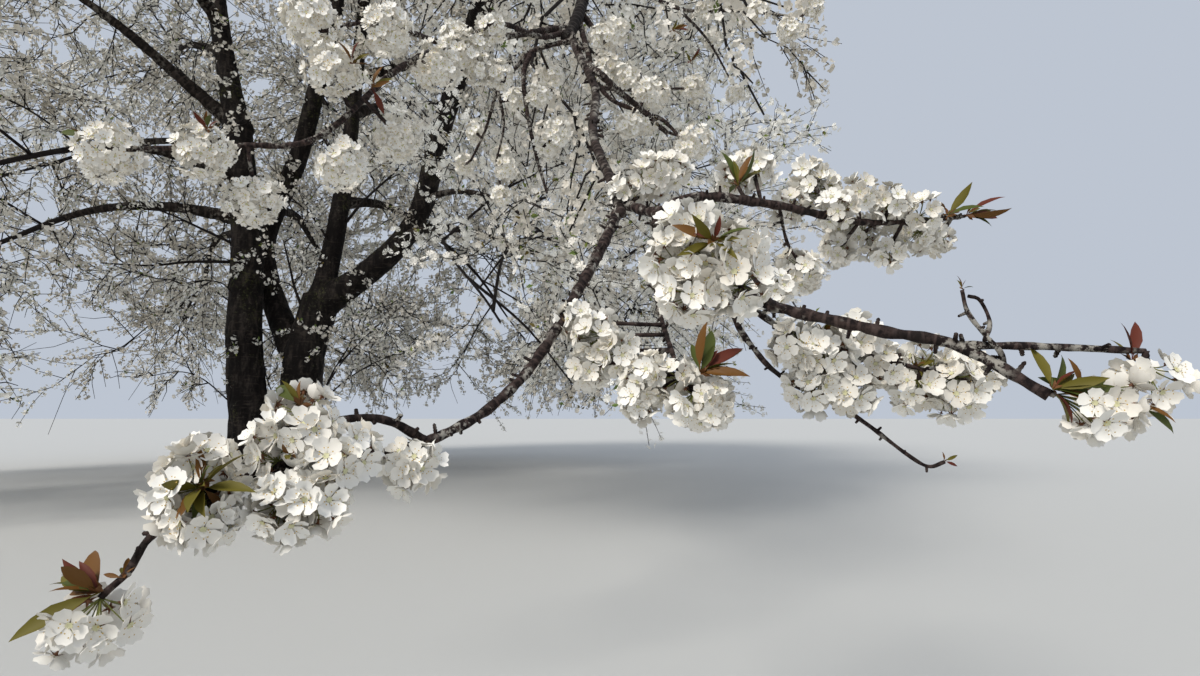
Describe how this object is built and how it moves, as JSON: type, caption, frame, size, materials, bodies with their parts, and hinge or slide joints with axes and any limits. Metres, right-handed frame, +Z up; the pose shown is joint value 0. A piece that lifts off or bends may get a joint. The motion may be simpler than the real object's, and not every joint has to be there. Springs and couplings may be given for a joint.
{
  "type": "white cherry blossom tree",
  "caption": "Open-grown cherry tree in full white blossom, forked from a flared foot, with a rounded crown and a long front bough that droops to eye level.",
  "frame": {"origin": "the point between the two stems in the flat cut at ground level", "axes": "+Z up, -Y towards the open front of the crown, where the long bough droops, +X to the right as seen from there"},
  "size_m": [11.5791, 13.0709, 11.8217],
  "materials": {
    "old_bark": "rough, dark, fissured bark with moss in its hollows",
    "young_bark": "satin bark with raised bands and pale lichen",
    "twig": "thin reddish brown twigs, matt",
    "blossom": "soft white petals, slightly see-through",
    "blossom_heart": "yellow stamens and reddish green calyx",
    "young_leaf": "bronze to yellow-green young leaves, satin"
  },
  "bodies": {
    "root": {"trunk": "old_bark", "stem_left": "old_bark", "stem_right": "old_bark", "stem_middle": "old_bark", "leader_left": "old_bark", "leader_middle": "old_bark", "leader_right": "old_bark", "bough_right": "old_bark", "bough_overhead": "young_bark", "limb_near": "young_bark", "bough_left_low": "young_bark", "bough_front_left_low": "young_bark", "bough_left_mid": "young_bark", "bough_back_left_low": "young_bark", "bough_back_low": "young_bark", "bough_back_right_low": "young_bark", "bough_right_low": "young_bark", "bough_right_front_low": "young_bark", "bough_right_front_mid": "young_bark", "bough_left_front": "young_bark", "bough_back_left_mid": "young_bark", "bough_back_mid": "young_bark", "bough_back_right_mid": "young_bark", "bough_right_mid": "young_bark", "bough_right_front_high": "young_bark", "bough_front_high": "young_bark", "bough_front_left_high": "young_bark", "bough_left_top": "young_bark", "bough_front_top": "young_bark", "bough_back_top": "young_bark", "bough_right_top": "young_bark", "mass_left_low": "blossom", "mass_front_left_low": "blossom", "mass_left_mid": "blossom", "mass_back_left_low": "blossom", "mass_back_low": "blossom", "mass_back_right_low": "blossom", "mass_right_low": "blossom", "mass_right_front_low": "blossom", "mass_right_front_mid": "blossom", "mass_left_front": "blossom", "mass_back_left_mid": "blossom", "mass_back_mid": "blossom", "mass_back_right_mid": "blossom", "mass_right_mid": "blossom", "mass_right_front_high": "blossom", "mass_front_high": "blossom", "mass_front_left_high": "blossom", "mass_left_top": "blossom", "mass_front_top": "blossom", "mass_back_top": "blossom", "mass_right_top": "blossom", "mass_left_crest": "blossom", "mass_middle_crest": "blossom", "mass_right_crest": "blossom", "spray_near_left": "blossom", "spray_near_right": "blossom", "spray_overhead_left": "blossom", "spray_overhead_right": "blossom", "spray_overhead_far": "blossom"}
  },
  "joints": []
}
